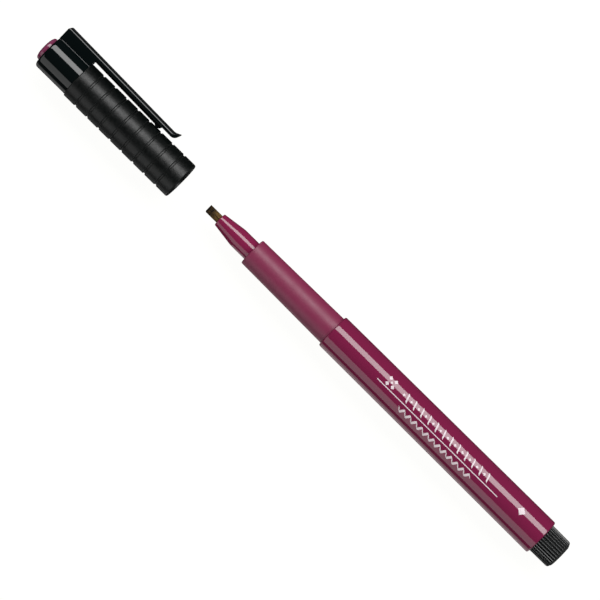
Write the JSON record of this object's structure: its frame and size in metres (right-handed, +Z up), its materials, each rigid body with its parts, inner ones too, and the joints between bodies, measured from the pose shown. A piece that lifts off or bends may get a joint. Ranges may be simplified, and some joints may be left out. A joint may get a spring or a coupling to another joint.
{
  "type": "calligraphy marker",
  "caption": "Calligraphy marker with a chisel fibre nib, a magenta barrel, a ribbed end plug and a ringed black cap with a pocket clip, drawn off the pen.",
  "frame": {"origin": "on the pen's axis, at the flat rear face of the end plug", "axes": "+X along the pen's axis towards the nib and the cap, +Z up from the surface the pen lies on, and the clip points along -Y"},
  "size_m": [0.2035, 0.0153, 0.012],
  "materials": {
    "barrel_gloss": "polished injection-moulded plastic, deep magenta",
    "grip_matte": "fine spark-eroded matt texture, dusty magenta",
    "holder_gloss": "polished injection-moulded plastic, deep magenta",
    "nib_fibre": "pressed fibre rod, olive brown, ink-stained at the chisel",
    "ink_core": "bonded fibre soaked in ink",
    "film_clear": "thin clear film",
    "plug_black": "satin black plastic with fine ribs",
    "sleeve_black": "matt black plastic with a fine grain",
    "crown_black": "polished black plastic",
    "liner_grey": "soft plastic, dark grey",
    "colour_gloss": "polished plastic, magenta",
    "print_white": "thin matt white printing ink"
  },
  "bodies": {
    "pen": {"barrel": "barrel_gloss", "grip_section": "grip_matte", "nib_holder": "holder_gloss", "nib": "nib_fibre", "ink_reservoir": "ink_core", "reservoir_film": "film_clear", "end_plug": "plug_black"},
    "cap_core": {"inner_cap": "liner_grey"},
    "cap": {"cap_sleeve": "sleeve_black", "cap_crown": "crown_black", "colour_plug": "colour_gloss"},
    "clip_arm": {"clip": "crown_black"}
  },
  "joints": [
    {"name": "cap_slide", "type": "slide", "parent": "pen", "child": "cap_core", "axis": [-1, 0, 0], "range_m": [0, 0.0595]},
    {"name": "cap_turn", "type": "hinge", "parent": "cap_core", "child": "cap", "pos_m": [0.19, 0, 0], "axis": [-1, 0, 0], "continuous": true},
    {"name": "clip_flex", "type": "hinge", "parent": "cap", "child": "clip_arm", "pos_m": [0.1906, -0.00805, 0], "axis": [0, 0, 1], "range_deg": [0, 6], "stiffness_Nm_per_rad": 2}
  ]
}
